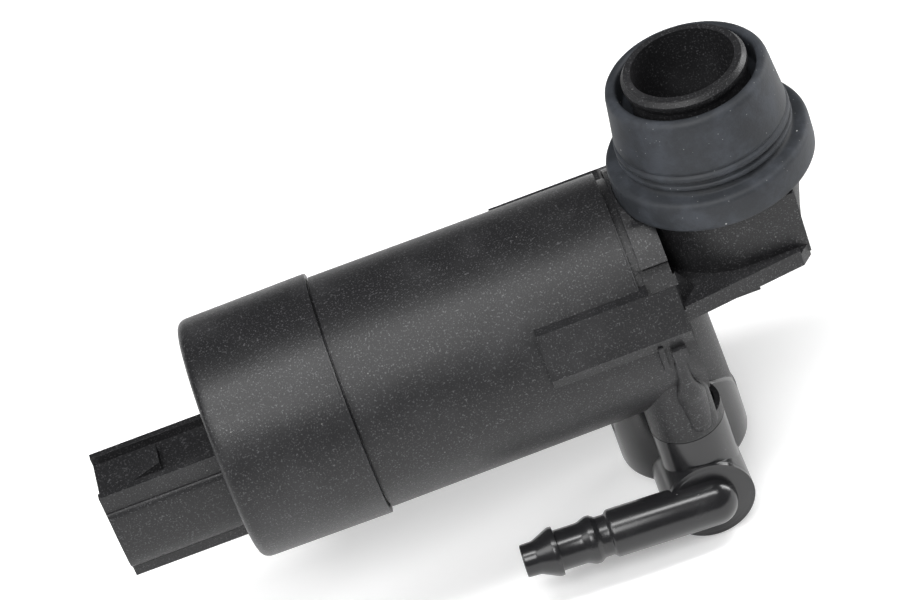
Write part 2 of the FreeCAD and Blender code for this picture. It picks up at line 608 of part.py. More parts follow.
def water_parts():
    """Seal carrier and shaft seal between the motor and the pump chamber."""
    body = piece("seal_carrier")
    rod(body, "disc", "X", (0, 0), size.carrier_radius - size.fit_gap, carrier_start, size.carrier_width)
    rod(body, "seat", "X", (0, 0), size.seal_radius, carrier_start - 1, size.carrier_width + 2, cut=True)
    body = piece("shaft_seal")
    rod(body, "lip", "X", (0, 0), size.seal_radius, carrier_start, size.carrier_width)
    rod(body, "hole", "X", (0, 0), size.shaft_radius + size.running_gap,
        carrier_start - 1, size.carrier_width + 2, cut=True)


def motor_fixed_parts():
    """Can, plastic end, bushes, magnets and brushes, which stand still."""
    can_radius = tube_bore - size.fit_gap
    bore = can_radius - size.can_wall
    front = carrier_start
    body = piece("motor_can")
    rod(body, "shell", "X", (0, 0), can_radius, -size.can_rear, front + size.can_rear)
    rod(body, "room", "X", (0, 0), bore, -size.can_rear - 1, front + size.can_rear + 1 - size.can_wall, cut=True)
    rod(body, "hole", "X", (0, 0), size.bush_radius, front - size.can_wall - 1, size.can_wall + 2, cut=True)
    body = piece("motor_bell")
    rod(body, "disc", "X", (0, 0), can_radius, -size.can_rear - size.bell_width, size.bell_width)
    rod(body, "spigot", "X", (0, 0), bore - size.fit_gap, -size.can_rear - 0.5, 2.5)
    rod(body, "hole", "X", (0, 0), size.bush_radius, -size.can_rear - size.bell_width - 1,
        size.bell_width + 4, cut=True)
    for label, start in (("front_bush", front - size.bush_width),
                         ("rear_bush", -size.can_rear - size.bell_width)):
        body = piece(label)
        rod(body, "sleeve", "X", (0, 0), size.bush_radius, start, size.bush_width)
        rod(body, "hole", "X", (0, 0), size.shaft_radius + size.running_gap, start - 1,
            size.bush_width + 2, cut=True)
    for label, side in (("upper_magnet", 1), ("lower_magnet", -1)):
        body = piece(label)
        rod(body, "arc", "X", (0, 0), bore, size.magnet_start, size.magnet_length)
        rod(body, "inside", "X", (0, 0), bore - size.magnet_wall, size.magnet_start - 1,
            size.magnet_length + 2, cut=True)
        slab(body, "other_half", "X", (-20, -20 if side > 0 else -6), (20, 6 if side > 0 else 20),
             size.magnet_start - 1, size.magnet_length + 2, cut=True)
    for label, side in (("near_brush", -1), ("far_brush", 1)):
        body = piece(label)
        inner = size.commutator_radius + size.brush_gap
        start = size.commutator_start + size.commutator_length / 2 - size.brush_width / 2
        low = inner if side > 0 else -inner - size.brush_length
        slab(body, "carbon", "Y", (start, -size.brush_width / 2), (start + size.brush_width, size.brush_width / 2),
             low, size.brush_length)


def rotor_parts():
    """Shaft, armature, commutator and impeller, which turn together."""
    wheel_start = chamber_start + size.wheel_gap
    body = piece("motor_shaft")
    rod(body, "rod", "X", (0, 0), size.shaft_radius, -size.shaft_rear,
        size.shaft_rear + wheel_start + size.wheel_plate + size.vane_height)
    body = piece("armature_core")
    rod(body, "stack", "X", (0, 0), size.core_radius, size.core_start, size.core_length)
    rod(body, "hole", "X", (0, 0), size.shaft_radius, size.core_start - 1, size.core_length + 2, cut=True)
    slot = rod(body, "slot", "X", (0, size.slot_reach), size.slot_radius, size.core_start - 1,
               size.core_length + 2, cut=True)
    around(body, slot, 5)
    body = piece("armature_windings")
    coil = rod(body, "coil", "X", (0, size.slot_reach), size.coil_radius,
               size.core_start - size.coil_overhang, size.core_length + size.coil_overhang * 2)
    around(body, coil, 5)
    body = piece("commutator")
    rod(body, "drum", "X", (0, 0), size.commutator_radius, size.commutator_start, size.commutator_length)
    rod(body, "hole", "X", (0, 0), size.shaft_radius, size.commutator_start - 1,
        size.commutator_length + 2, cut=True)
    body = piece("impeller")
    rod(body, "disc", "X", (0, 0), size.wheel_radius, wheel_start, size.wheel_plate)
    rod(body, "hub", "X", (0, 0), size.wheel_hub, wheel_start, size.wheel_plate + size.vane_height)
    vane = slab(body, "vane", "X", (size.wheel_hub - 0.6, -size.vane_thickness / 2),
                (size.wheel_radius, size.vane_thickness / 2), wheel_start + size.wheel_plate - 0.2,
                size.vane_height + 0.2)
    around(body, vane, int(size.vane_count.number))
    rod(body, "hole", "X", (0, 0), size.shaft_radius, wheel_start - 1,
        size.wheel_plate + size.vane_height + 2, cut=True)


def around(body, feature, count):
    """Repeats a feature evenly round the motor axis."""
    pattern = body.newObject("PartDesign::PolarPattern", f"{feature.Name}_ring")
    pattern.Originals = [feature]
    pattern.Axis = (next(item for item in body.Origin.OriginFeatures if item.Role == "X_Axis"), [""])
    pattern.Angle = 360
    pattern.Occurrences = count
    body.Tip = pattern
    doc.recompute()


motor_housing()
end_cap()
terminals()
inlet_grommet()
outlet_elbow()
boss_lid()
water_parts()
motor_fixed_parts()
rotor_parts()
doc.recompute()

faults = [item.Name for item in doc.Objects if "Invalid" in item.State or "Error" in item.State]
if faults:
    raise SystemExit("failed features: " + ", ".join(faults))
for item in pieces:
    shape = item.Shape
    if shape.isNull() or not shape.isValid() or not shape.Solids:
        raise SystemExit(f"{item.Label} has no valid solid")
    print(f"{item.Label}: {len(shape.Solids)} solids, {shape.Volume:.1f} cubic millimetres")
for item in pieces:
    item.Shape.exportStep(f"parts/{item.Label}.step")
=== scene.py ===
"""Windshield washer pump: motor housing with cap and plug, tank grommet, boss and barbed outlet elbow."""

import logging
import math
from dataclasses import dataclass
from enum import Enum
from typing import Any, Sequence

import bpy
from mathutils import Matrix, Vector

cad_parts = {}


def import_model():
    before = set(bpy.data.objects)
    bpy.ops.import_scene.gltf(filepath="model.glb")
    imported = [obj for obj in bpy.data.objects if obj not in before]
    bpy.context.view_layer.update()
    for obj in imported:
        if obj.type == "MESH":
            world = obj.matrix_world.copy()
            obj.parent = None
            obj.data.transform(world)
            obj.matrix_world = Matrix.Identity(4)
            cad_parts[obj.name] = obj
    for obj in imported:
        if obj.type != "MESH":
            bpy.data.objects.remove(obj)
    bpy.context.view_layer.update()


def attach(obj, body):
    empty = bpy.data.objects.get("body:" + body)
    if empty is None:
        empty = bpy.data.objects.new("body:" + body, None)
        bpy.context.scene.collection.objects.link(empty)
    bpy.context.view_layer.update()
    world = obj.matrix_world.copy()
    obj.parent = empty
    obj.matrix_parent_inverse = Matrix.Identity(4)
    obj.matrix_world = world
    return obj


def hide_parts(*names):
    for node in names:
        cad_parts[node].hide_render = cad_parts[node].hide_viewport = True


log = logging.getLogger("washer_pump")
MM = 0.001
PUMP = "pump"
INLET_REACH = 56.5
SEAT_HEIGHT = 19.5
MERGE_WITHIN = 0.001

Place = tuple[float, float]
Point = tuple[float, float, float]
Colour = tuple[float, float, float]


class Across(Enum):
    """The axis that a turned piece is turned about."""

    X = (1.0, 0.0, 0.0)
    Y = (0.0, 1.0, 0.0)
    Z = (0.0, 0.0, 1.0)


class Signal:
    """A shader output that takes part in ordinary arithmetic."""

    def __init__(self, shader: "Shader", socket: bpy.types.NodeSocket) -> None:
        """Keeps the socket and the shader that it belongs to."""
        self.shader = shader
        self.socket = socket

    def combined(self, operation: str, first: Any, second: Any) -> "Signal":
        """Adds a Math node.

        Args:
            operation: The Math node's operation.
            first: Its first value, a number or a signal.
            second: Its second value, a number or a signal.

        Returns:
            The node's result.
        """
        return self.shader.node("ShaderNodeMath", {"operation": operation}, {0: first, 1: second})

    def __add__(self, other: Any) -> "Signal":
        """This plus another."""
        return self.combined("ADD", self, other)

    __radd__ = __add__

    def __sub__(self, other: Any) -> "Signal":
        """This minus another."""
        return self.combined("SUBTRACT", self, other)

    def __rsub__(self, other: Any) -> "Signal":
        """Another minus this."""
        return self.combined("SUBTRACT", other, self)

    def __mul__(self, other: Any) -> "Signal":
        """This times another."""
        return self.combined("MULTIPLY", self, other)

    __rmul__ = __mul__

    def eased(self, low: float, high: float) -> "Signal":
        """Rises smoothly from 0 at low to 1 at high."""
        settings = {"interpolation_type": "SMOOTHSTEP"}
        return self.shader.node("ShaderNodeMapRange", settings, {0: self, 1: low, 2: high, 3: 0.0, 4: 1.0})


class Shader:
    """A material with one Principled surface, built from signals."""

    def __init__(self, name: str) -> None:
        """Starts an empty material."""
        self.material = bpy.data.materials.new(name)
        self.material.use_nodes = True
        self.tree = self.material.node_tree
        self.surface = self.tree.nodes["Principled BSDF"]
        coordinates = self.tree.nodes.new("ShaderNodeTexCoord")
        self.place = Signal(self, coordinates.outputs["Object"])

    def node(self, kind: str, settings: dict[str, Any], inputs: dict[Any, Any], output: Any = 0) -> Signal:
        """Adds a node.

        Args:
            kind: The node's type.
            settings: The node's own settings, set first.
            inputs: Numbers, colours or signals for its sockets.
            output: The output to return.

        Returns:
            The chosen output.
        """
        made = self.tree.nodes.new(kind)
        for key, value in settings.items():
            setattr(made, key, value)
        for key, value in inputs.items():
            self.feed(made.inputs[key], value)
        return Signal(self, made.outputs[output])

    def feed(self, socket: bpy.types.NodeSocket, value: Any) -> None:
        """Links a signal to a socket, or sets the socket's own value."""
        if isinstance(value, Signal):
            self.tree.links.new(value.socket, socket)
        else:
            socket.default_value = value

    def noise(self, size: float, detail: float = 2.0, roughness: float = 0.5) -> Signal:
        """Noise whose features are about size millimetres across."""
        inputs = {"Vector": self.place, "Scale": 1 / (size * MM), "Detail": detail, "Roughness": roughness}
        return self.node("ShaderNodeTexNoise", {}, inputs)

    def specks(self, size: float, share: float) -> Signal:
        """Round specks, one in each cell of size millimetres, over that share of the cell's width."""
        inputs = {"Vector": self.place, "Scale": 1 / (size * MM)}
        distance = self.node("ShaderNodeTexVoronoi", {}, inputs, "Distance")
        return 1 - distance.eased(share * 0.6, share)

    def mixed(self, first: Any, second: Any, mask: Any) -> Signal:
        """The second colour over the first where the mask is 1."""
        return self.node("ShaderNodeMix", {"data_type": "RGBA"}, {0: mask, 6: first, 7: second}, 2)

    def bumped(self, height: Any, strength: float, depth: float) -> None:
        """Feeds a bump of depth millimetres to the surface's normal."""
        inputs = {"Height": height, "Strength": strength, "Distance": depth * MM}
        self.feed(self.surface.inputs["Normal"], self.node("ShaderNodeBump", {}, inputs))

    def set(self, **values: Any) -> None:
        """Sets or links the surface's sockets, with underscores for spaces."""
        for key, value in values.items():
            self.feed(self.surface.inputs[key.replace("_", " ")], value)


def motor_place(along: float, side: float, up: float) -> Point:
    """A place measured from the cap's rim on the motor axis, in the pump's frame, in millimetres."""
    return (along - INLET_REACH, side, up - SEAT_HEIGHT)


def rgba(colour: Colour) -> tuple[float, float, float, float]:
    """A colour with full opacity."""
    return (*colour, 1.0)


@dataclass(frozen=True)
class GrainedPlastic:
    """Moulded plastic with a fine spark-eroded grain, its sparkle painted in as pale glint flecks, and a few
    dust specks.
    """

    name: str
    colour: Colour = (0.012, 0.012, 0.013)
    # pale: colour of the painted glint highlights, and of the random broad tone
    pale: Colour = (0.12, 0.12, 0.125)
    roughness: float = 0.44
    grain: float = 0.24
    grain_depth: float = 0.05
    dust: float = 0.3
    dust_colour: Colour = (0.4, 0.4, 0.39)
    dust_spacing: float = 3.7
    gleam: float = 0.32

    def material(self) -> bpy.types.Material:
        """Builds the finish."""
        shader = Shader(self.name)
        fine = shader.noise(self.grain, 3.0, 0.6)
        broad = shader.noise(9.0, 3.0)
        # Painted highlight: the grain's sparkle is painted into the base colour as pale flecks where the
        # fine noise peaks; the broad part is random tone.
        glints = fine.eased(0.55, 0.7)
        painted_glints_and_tone = glints * 0.6 + broad.eased(0.45, 0.8) * 0.12
        colour = shader.mixed(rgba(self.colour), rgba(self.pale), painted_glints_and_tone)
        dust = shader.specks(self.dust_spacing, 0.035) * self.dust
        colour = shader.mixed(colour, rgba(self.dust_colour), dust)
        shader.set(Base_Color=colour, Roughness=self.roughness + (broad - 0.5) * 0.16 - glints * 0.12)
        shader.set(Specular_IOR_Level=self.gleam)
        shader.bumped(fine, 0.7, self.grain_depth)
        return shader.material


@dataclass(frozen=True)
class GlossyPlastic:
    """Smooth polished black plastic with faint handling marks."""

    name: str
    colour: Colour = (0.012, 0.012, 0.013)
    worn: Colour = (0.05, 0.05, 0.052)
    dust_colour: Colour = (0.5, 0.5, 0.49)
    dust_spacing: float = 1.9
    roughness: float = 0.16

    def material(self) -> bpy.types.Material:
        """Builds the finish."""
        shader = Shader(self.name)
        broad = shader.noise(4.0, 4.0)
        wave = shader.noise(6.0, 1.0)
        colour = shader.mixed(rgba(self.colour), rgba(self.worn), broad.eased(0.5, 0.9) * 0.25)
        dust = shader.specks(self.dust_spacing, 0.04) * 0.4
        colour = shader.mixed(colour, rgba(self.dust_colour), dust)
        shader.set(Base_Color=colour, Roughness=self.roughness + broad * 0.14)
        shader.bumped(wave, 0.25, 0.12)
        return shader.material


@dataclass(frozen=True)
class DustyRubber:
    """Dark rubber with a bluish bloom, handling smears and dust specks."""

    name: str
    colour: Colour = (0.016, 0.018, 0.021)
    bloom: Colour = (0.05, 0.056, 0.068)
    dust_colour: Colour = (0.45, 0.46, 0.45)
    roughness: float = 0.62
    gleam: float = 0.35

    def material(self) -> bpy.types.Material:
        """Builds the finish."""
        shader = Shader(self.name)
        smear = shader.noise(5.0, 5.0, 0.65)
        fine = shader.noise(0.3, 2.0)
        bloomed = smear.eased(0.4, 0.72) * 0.55 + fine * 0.2
        colour = shader.mixed(rgba(self.colour), rgba(self.bloom), bloomed)
        large = shader.specks(2.6, 0.06) * 0.7
        small = shader.specks(1.1, 0.07) * 0.35
        colour = shader.mixed(colour, rgba(self.dust_colour), large + small)
        shader.set(Base_Color=colour, Roughness=self.roughness + (smear - 0.5) * 0.3)
        shader.set(Specular_IOR_Level=self.gleam)
        shader.bumped(fine + smear * 0.6, 0.4, 0.06)
        return shader.material


@dataclass(frozen=True)
class Metal:
    """Plain metal with a fine turned or rolled texture."""

    name: str
    colour: Colour
    roughness: float = 0.3

    def material(self) -> bpy.types.Material:
        """Builds the finish."""
        shader = Shader(self.name)
        fine = shader.noise(0.5, 3.0)
        shader.set(Base_Color=rgba(self.colour), Metallic=1.0, Roughness=self.roughness + (fine - 0.5) * 0.2)
        return shader.material


@dataclass(frozen=True)
class PlainPlastic:
    """Plain plastic, carbon or ferrite of the hidden pieces."""

    name: str
    colour: Colour
    roughness: float = 0.5

    def material(self) -> bpy.types.Material:
        """Builds the finish."""
        shader = Shader(self.name)
        shader.set(Base_Color=rgba(self.colour), Roughness=self.roughness)
        return shader.material


def alone(item: bpy.types.Object) -> None:
    """Selects only this object and makes it active."""
    bpy.ops.object.select_all(action="DESELECT")
    item.select_set(True)
    bpy.context.view_layer.objects.active = item


def dress(item: bpy.types.Object, material: bpy.types.Material) -> None:
    """Gives an object one material."""
    item.data.materials.clear()
    item.data.materials.append(material)


def softened_copy(node: str, width: float, angle: float = 32.0, segments: int = 2) -> bpy.types.Object:
    """Copies a solid's mesh, merges it and rounds its sharp edges.

    Args:
        node: The solid's name.
        width: The rounding in millimetres.
        angle: Edges sharper than this many degrees are rounded.
        segments: Steps of each rounding.

    Returns:
        The copy, which stands for the solid.
    """
    source = bpy.data.objects[node]
    alone(source)
    bpy.ops.object.duplicate()
    copy = bpy.context.active_object
    copy.name = f"{node}_skin"
    alone(copy)
    bpy.ops.object.mode_set(mode="EDIT")
    bpy.ops.mesh.select_all(action="SELECT")
    bpy.ops.mesh.remove_doubles(threshold=0.002 * MM)
    bpy.ops.mesh.dissolve_limited(angle_limit=math.radians(0.4))
    bpy.ops.object.mode_set(mode="OBJECT")
    rounding = copy.modifiers.new("rounding", "BEVEL")
    rounding.width = width * MM
    rounding.segments = segments
    rounding.limit_method = "ANGLE"
    rounding.angle_limit = math.radians(angle)
    rounding.use_clamp_overlap = True
    rounding.miter_outer = "MITER_ARC"
    bpy.ops.object.modifier_apply(modifier="rounding")
    bpy.ops.object.shade_smooth_by_angle(angle=math.radians(angle))
    even = copy.modifiers.new("even_shading", "WEIGHTED_NORMAL")
    even.keep_sharp = True
    even.weight = 80
    bpy.ops.object.modifier_apply(modifier="even_shading")
    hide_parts(node)
    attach(copy, PUMP)
    return copy


def rounded(corners: Sequence[Point], steps: int = 4) -> list[Place]:
    """Rounds the corners of a closed section.

    Args:
        corners: Radius from the axis, height and rounding of each corner, in millimetres.
        steps: Steps of each rounding.

    Returns:
        The section's places, in order.
    """
    places: list[Place] = []
    for index, (reach, height, rounding) in enumerate(corners):
        corner = Vector((reach, height))
        if rounding == 0:
            places.append((reach, height))
            continue
        before = Vector(corners[index - 1][:2])
        after = Vector(corners[(index + 1) % len(corners)][:2])
        start = corner + (before - corner).normalized() * rounding
        end = corner + (after - corner).normalized() * rounding
        for step in range(steps + 1):
            share = step / steps
            place = start * (1 - share) ** 2 + corner * (2 * share * (1 - share)) + end * share ** 2
            places.append((place.x, place.y))
    return places


def traced(name: str, points: Sequence[Vector]) -> bpy.types.Object:
    """Extrudes a closed outline from one vertex, and stays in edit mode with all of it selected.

    Args:
        name: The piece's name.
        points: The outline's points, in metres.

    Returns:
        The piece.
    """
    bpy.ops.object.select_all(action="DESELECT")
    bpy.ops.mesh.primitive_plane_add(size=MM, location=points[0])
    piece = bpy.context.active_object
    piece.name = name
    bpy.ops.object.mode_set(mode="EDIT")
    bpy.ops.mesh.select_all(action="SELECT")
    bpy.ops.mesh.merge(type="CENTER")
    for before, after in zip(points, points[1:] + points[:1]):
        bpy.ops.mesh.extrude_region_move(TRANSFORM_OT_translate={"value": after - before})
    bpy.ops.mesh.select_all(action="SELECT")
    return piece


def finished(piece: bpy.types.Object, angle: float) -> bpy.types.Object:
    """Leaves edit mode, applies the place and smooths edges flatter than this many degrees."""
    bpy.ops.mesh.normals_make_consistent(inside=False)
    bpy.ops.object.mode_set(mode="OBJECT")
    bpy.ops.object.transform_apply(location=True, rotation=True, scale=True)
    bpy.ops.object.shade_smooth_by_angle(angle=math.radians(angle))
    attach(piece, PUMP)
    return piece


def turned_piece(name: str, places: Sequence[Place], middle: Sequence[float], across: Across,
                 steps: int = 96) -> bpy.types.Object:
    """Extrudes a section from one vertex and spins it round an axis.

    Args:
        name: The piece's name.
        places: Radius and height of the section's places, in millimetres; it is closed at its end.
        middle: The point on the axis that heights are measured from, in millimetres.
        across: The axis.
        steps: Steps of the full turn.

    Returns:
        The piece, smooth and with its place in its mesh.
    """
    axis = Vector(across.value)
    side = Vector((0, 0, 1)) if across is Across.X else Vector((1, 0, 0))
    points = [(Vector(middle) + side * reach + axis * height) * MM for reach, height in places]
    piece = traced(name, points)
    bpy.ops.mesh.spin(steps=steps, angle=math.tau, center=Vector(middle) * MM, axis=axis)
    bpy.ops.mesh.select_all(action="SELECT")
    bpy.ops.mesh.remove_doubles(threshold=MERGE_WITHIN * MM)
    return finished(piece, 40)


@dataclass(frozen=True)
class Finishes:
    """The finishes of the whole pump."""

    housing: GrainedPlastic = GrainedPlastic("grained_housing")
    cap: GrainedPlastic = GrainedPlastic("grained_cap", roughness=0.4)
    rubber: DustyRubber = DustyRubber("dusty_rubber")
    gloss: GlossyPlastic = GlossyPlastic("glossy_black")


@dataclass(frozen=True)
class Softbox:
    """A rectangular soft light, with places and sizes in millimetres and power in watts."""

    name: str
    place: Point
    aim: Point
    size: Place
    power: float

    def add(self) -> None:
        """Adds the light."""
        data = bpy.data.lights.new(self.name, "AREA")
        data.shape = "RECTANGLE"
        data.size = self.size[0] * MM
        data.size_y = self.size[1] * MM
        data.energy = self.power
        light = bpy.data.objects.new(self.name, data)
        bpy.context.scene.collection.objects.link(light)
        direction = (Vector(self.aim) - Vector(self.place)).normalized()
        light.rotation_euler = direction.to_track_quat("-Z", "Y").to_euler()
        light.location = Vector(self.place) * MM


@dataclass
class Studio:
    """Pale floor, soft lights and the camera at the photograph's viewing angle."""

    eye: Point = (-30.8, -418.45, 322.21)
    elevation: float = 38.5
    roll: float = 20.4
    yaw: float = 0.9
    lens: float = 160.0
    floor_level: float = -53.6
    floor_glow: float = 0.3
    surroundings: float = 0.1
    lights: tuple[Softbox, ...] = (
        Softbox("overhead", (-40, -120, 560), (-30, 0, -20), (640, 110), 3.0),
        Softbox("key", (-160, -420, 470), (-40, 0, -20), (320, 220), 2.2),
        Softbox("right_rim", (380, 160, 120), (-10, 0, -25), (140, 300), 1.5),
        Softbox("left_fill", (-420, -160, 320), (-60, 0, -20), (200, 260), 0.8),
    )

    def camera(self) -> None:
        """Places the camera."""
        height = math.radians(self.elevation)
        sweep = math.radians(self.yaw)
        ahead = math.cos(sweep)
        toward = Vector((math.sin(sweep), -math.cos(height) * ahead, math.sin(height) * ahead))
        toward.normalize()
        flat = (Vector((1, 0, 0)) - toward * toward.x).normalized()
        up = toward.cross(flat)
        turn = math.radians(self.roll)
        right = flat * math.cos(turn) - up * math.sin(turn)
        top = flat * math.sin(turn) + up * math.cos(turn)
        data = bpy.data.cameras.new("camera")
        data.lens = self.lens
        data.sensor_width = 36.0
        data.clip_start = 0.05
        camera = bpy.data.objects.new("camera", data)
        bpy.context.scene.collection.objects.link(camera)
        place = Matrix((right, top, toward)).transposed().to_4x4()
        place.translation = Vector(self.eye) * MM
        camera.matrix_world = place
        bpy.context.scene.camera = camera

    def floor(self) -> None:
        """Lays the pale floor."""
        bpy.ops.object.select_all(action="DESELECT")
        bpy.ops.mesh.primitive_plane_add(size=6.0, location=(0, 0, self.floor_level * MM))
        floor = bpy.context.active_object
        floor.name = "floor"
        shader = Shader("pale_floor")
        shader.set(Base_Color=(0.92, 0.92, 0.92, 1.0), Roughness=0.9, Emission_Color=(1.0, 1.0, 1.0, 1.0),
                   Emission_Strength=self.floor_glow)
        dress(floor, shader.material)

    def build(self) -> None:
        """Lays the floor, sets the lights and the camera."""
        self.floor()
        world = bpy.data.worlds.new("studio")
        world.use_nodes = True
        background = world.node_tree.nodes["Background"]
        background.inputs["Color"].default_value = (1.0, 1.0, 1.0, 1.0)
        background.inputs["Strength"].default_value = self.surroundings
        scene = bpy.context.scene
        scene.world = world
        scene.view_settings.view_transform = "Standard"
        scene.view_settings.look = "None"
        for light in self.lights:
            light.add()
        self.camera()


@dataclass
class Housing:
    """Motor housing with pump head, boss and latch collar, and the lid under the boss."""

    finishes: Finishes
    boss_axis: float = 41.0
    tube_start: Place = (0.3, 16.512)
    tube_end: Place = (41.1, 16.312)
    tube_inner: Place = (15.8, 15.4)
    groove_end: float = 42.35
    groove_level: float = 3.2
    groove_inner: float = 15.0
    tower_top: float = -4.6
    block_end: float = 7.95
    boss_top: Place = (8.1, 4.2)
    boss_foot: Place = (9.0, -26.0)
    boss_inner: float = 6.0
    hub_radius: float = 9.12
    hub_bottom: float = -28.5
    hub_top: float = -12.9
    hub_plate: float = -24.0
    hub_wall: float = 0.4
    hub_still_below: float = -19.0
    arch_middle: float = -21.9
    arch_radius: float = 8.9
    post_axis: Place = (43.0, -13.3)
    post_radius: float = 2.2
    post_neck: float = 0.95
    post_foot: float = -15.4
    post_top: float = -1.4
    post_lean: float = 2.5
    dot: Point = (4.3, -6.05, -15.35)
    dot_radius: float = 0.85

    def tube(self) -> bpy.types.Object:
        """Turns the even skin of the tube."""
        start, end, inner = self.tube_start, self.tube_end, self.tube_inner
        section = rounded([(inner[0], start[0], 0), (start[1], start[0], 0.35),
                           (end[1], end[0], 0.3), (inner[1], end[0], 0)])
        return turned_piece("tube_skin", section, motor_place(0, 0, 0), Across.X, 160)

    def boss(self) -> bpy.types.Object:
        """Widens the boss towards the tube."""
        top, foot, inner = self.boss_top, self.boss_foot, self.boss_inner
        section = [(inner, top[1]), top, foot, (inner, foot[1])]
        return turned_piece("boss_flare", section, motor_place(self.boss_axis, 0, 0), Across.Z)

    def hub(self) -> bpy.types.Object:
        """Turns the glossy hub round the boss's foot and arches its upper edge."""
        radius, bottom, top, plate = self.hub_radius, self.hub_bottom, self.hub_top, self.hub_plate
        inner = radius - self.hub_wall
        section = rounded([(0, bottom, 0), (radius, bottom, 0.9), (radius, plate - 0.5, 0),
                           (radius, top, 0.1), (inner, top + 0.1, 0), (inner, plate, 0), (0, plate, 0)])
        piece = turned_piece("glossy_hub", section, motor_place(self.boss_axis, 0, 0), Across.Z, 128)
        middle = motor_place(self.boss_axis, 0, self.arch_middle)
        for vertex in piece.data.vertices:
            if vertex.co.z > (self.hub_still_below - SEAT_HEIGHT) * MM:
                across = min(abs(vertex.co.x / MM - middle[0]), self.arch_radius)
                drop = self.arch_radius - math.sqrt(self.arch_radius ** 2 - across ** 2)
                vertex.co.z -= drop * MM
        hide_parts("boss_lid")
        return piece

    def groove_filler(self) -> bpy.types.Object:
        """Closes the groove under the rails, where the ring runs straight into the tube."""
        start, reach = self.tube_end
        inner, end = self.groove_inner, self.groove_end
        section = [(inner, start - 0.4), (reach, start - 0.4), (reach, end), (inner, end)]
        piece = turned_piece("groove_filler", section, motor_place(0, 0, 0), Across.X, 160)
        alone(piece)
        bpy.ops.object.mode_set(mode="EDIT")
        bpy.ops.mesh.select_all(action="SELECT")
        level = Vector(motor_place(0, 0, self.groove_level)) * MM
        bpy.ops.mesh.bisect(plane_co=level, plane_no=(0, 0, 1), use_fill=True, clear_outer=True)
        bpy.ops.object.mode_set(mode="OBJECT")
        return piece

    def post(self) -> bpy.types.Object:
        """Turns the latch post with its narrow neck, which leans out over the ring."""
        radius, neck, foot, top = self.post_radius, self.post_neck, self.post_foot, self.post_top
        section = rounded([(0, foot, 0), (radius, foot, 0.8), (radius, -8.6, 1.2),
                           (neck, -5.4, 1.2), (neck, top, 0.1), (0, top, 0)])
        piece = turned_piece("latch_post", section, motor_place(*self.post_axis, 0), Across.Z, 48)
        for vertex in piece.data.vertices:
            height = vertex.co.z / MM + SEAT_HEIGHT
            share = min(max((height + 12) / 8, 0), 1)
            vertex.co.y -= self.post_lean * share * share * (3 - 2 * share) * MM
        return piece

    def paint_dot(self) -> bpy.types.Object:
        """Lays the small dab of red paint by the cap's rim."""
        place = Vector(motor_place(*self.dot)) * MM
        bpy.ops.object.select_all(action="DESELECT")
        radius = self.dot_radius * MM
        bpy.ops.mesh.primitive_uv_sphere_add(segments=24, ring_count=12, radius=radius, location=place)
        dab = bpy.context.active_object
        dab.name = "paint_dab"
        outward = Vector((0, self.dot[1], self.dot[2])).normalized()
        dab.rotation_euler = outward.to_track_quat("Z", "X").to_euler()
        dab.scale = (0.75, 1.0, 0.08)
        bpy.ops.object.transform_apply(location=True, rotation=True, scale=True)
        bpy.ops.object.shade_smooth()
        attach(dab, PUMP)
        return dab

    def flatten_tower(self, housing: bpy.types.Object) -> None:
        """Brings the tower under the grommet back to the block's end face."""
        for vertex in housing.data.vertices:
            if vertex.co.z < self.tower_top * MM:
                vertex.co.x = min(vertex.co.x, self.block_end * MM)

    def build(self) -> None:
        """Dresses the housing and adds its skin, flare, filler and post, the lid and the paint."""
        plastic = self.finishes.housing.material()
        housing = softened_copy("motor_housing", 0.28)
        self.flatten_tower(housing)
        dress(housing, plastic)
        for piece in (self.boss(), self.tube(), self.groove_filler(), self.post()):
            dress(piece, plastic)
        dress(self.hub(), self.finishes.gloss.material())
        dab = self.paint_dot()
        dress(dab, PlainPlastic("red_paint", (0.42, 0.07, 0.045), 0.5).material())
        log.info("housing, boss, lid and paint built")


@dataclass
class Cap:
    """End cap with its connector shroud."""

    finishes: Finishes
    length: float = 18.6
    rim: float = 17.212
    end: float = 17.062
    end_rounding: float = 1.6
    skin_inner: float = 16.0
    skin_middle: float = 4.0
    panel_start: float = -36.1
    panel_length: float = 18.0
    panel_section: tuple[Place, ...] = (
        (4.3, -1.3), (4.95, -1.35), (5.2, -1.6), (5.4, -2.4), (5.55, -3.6), (5.62, -5.0),
        (5.62, -6.6), (5.55, -8.2), (5.35, -9.6), (5.1, -10.7), (4.8, -11.4), (4.3, -11.6))

    def shell(self) -> bpy.types.Object:
        """Turns the even skin of the cap."""
        inner, middle, back, face = self.skin_inner, self.skin_middle, 1 - self.length, -0.012 - self.length
        section = rounded([(inner, 0, 0), (inner, back, 0), (middle, back, 0), (middle, face, 0),
                           (self.end, face, self.end_rounding), (self.rim, 0, 0.4)], 6)
        return turned_piece("cap_skin", section, motor_place(0, 0, 0), Across.X, 160)

    def panel(self, name: str, side: int) -> bpy.types.Object:
        """Extrudes the bowed panel along one side of the shroud.

        Args:
            name: The piece's name.
            side: -1 for the near side, 1 for the far side.

        Returns:
            The panel.
        """
        start = self.panel_start
        places = [motor_place(start, reach * side, level) for reach, level in self.panel_section]
        points = [Vector(place) * MM for place in places]
        panel = traced(name, points)
        bpy.ops.mesh.remove_doubles(threshold=MERGE_WITHIN * MM)
        bpy.ops.mesh.edge_face_add()
        bpy.ops.mesh.extrude_region_move(TRANSFORM_OT_translate={"value": (self.panel_length * MM, 0, 0)})
        bpy.ops.mesh.select_all(action="SELECT")
        return finished(panel, 35)

    def build(self) -> None:
        """Dresses the cap and adds its even skin and the shroud's side panels."""
        plastic = self.finishes.cap.material()
        dress(softened_copy("end_cap", 0.25), plastic)
        for piece in (self.shell(), self.panel("near_panel", -1), self.panel("far_panel", 1)):
            dress(piece, plastic)
        log.info("cap, skin and panels built")


